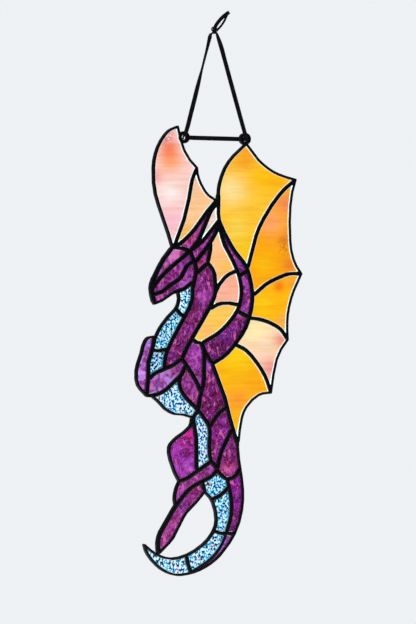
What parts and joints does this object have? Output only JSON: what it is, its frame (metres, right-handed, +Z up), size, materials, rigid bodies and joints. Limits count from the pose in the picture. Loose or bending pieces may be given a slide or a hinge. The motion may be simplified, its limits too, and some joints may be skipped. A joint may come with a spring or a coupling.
{
  "type": "faux stained glass suncatcher",
  "caption": "Dragon-shaped hanging suncatcher: a black cut-out outline with two eyelets, coloured see-through panes in its openings and a black ribbon loop.",
  "frame": {"origin": "the underside of the ribbon loop's top, where it rests on a hook", "axes": "+Z up along the hanging direction, -Y out of the front face, +X to the viewer's right"},
  "size_m": [0.1212, 0.0057, 0.3687],
  "materials": {
    "frame_black": "gloss black acrylic",
    "ribbon_black": "satin ribbon",
    "acrylic_peach": "see-through acrylic, smooth",
    "acrylic_pink": "see-through acrylic, smooth",
    "acrylic_yellow": "see-through acrylic, smooth",
    "acrylic_orange": "see-through acrylic, smooth",
    "acrylic_purple": "see-through acrylic, rippled",
    "acrylic_lilac": "see-through acrylic, rippled",
    "acrylic_aqua": "see-through acrylic, hammered"
  },
  "bodies": {
    "root": {"frame": "frame_black", "pane_left_wing_outer": "acrylic_pink", "pane_left_wing_inner": "acrylic_peach", "pane_horn_gap": "acrylic_pink", "pane_right_wing_top": "acrylic_yellow", "pane_right_wing_upper": "acrylic_orange", "pane_right_wing_middle": "acrylic_orange", "pane_right_wing_lower": "acrylic_pink", "pane_right_wing_bottom": "acrylic_yellow", "pane_elbow_gap_top": "acrylic_peach", "pane_elbow_gap_middle": "acrylic_pink", "pane_elbow_gap_bottom": "acrylic_yellow", "pane_upper_arm": "acrylic_lilac", "pane_elbow": "acrylic_purple", "pane_forearm": "acrylic_purple", "pane_brow": "acrylic_lilac", "pane_cheek": "acrylic_purple", "pane_jaw": "acrylic_purple", "pane_horn_front": "acrylic_purple", "pane_horn_middle": "acrylic_purple", "pane_horn_back": "acrylic_purple", "pane_neck": "acrylic_purple", "pane_throat": "acrylic_aqua", "pane_chest": "acrylic_aqua", "pane_chest_lower": "acrylic_aqua", "pane_belly": "acrylic_aqua", "pane_claw_outer": "acrylic_lilac", "pane_claw_inner": "acrylic_lilac", "pane_shoulder": "acrylic_purple", "pane_flank": "acrylic_purple", "pane_back": "acrylic_purple", "pane_hip": "acrylic_purple", "pane_rump": "acrylic_purple", "pane_underside": "acrylic_aqua", "pane_thigh": "acrylic_purple", "pane_shin": "acrylic_lilac", "pane_foot": "acrylic_purple", "pane_tail_root": "acrylic_aqua", "pane_tail_upper": "acrylic_aqua", "pane_tail_middle": "acrylic_aqua", "pane_tail_end": "acrylic_aqua", "pane_tail_back": "acrylic_purple", "pane_tail_back_lower": "acrylic_lilac", "ribbon": "ribbon_black"}
  },
  "joints": []
}
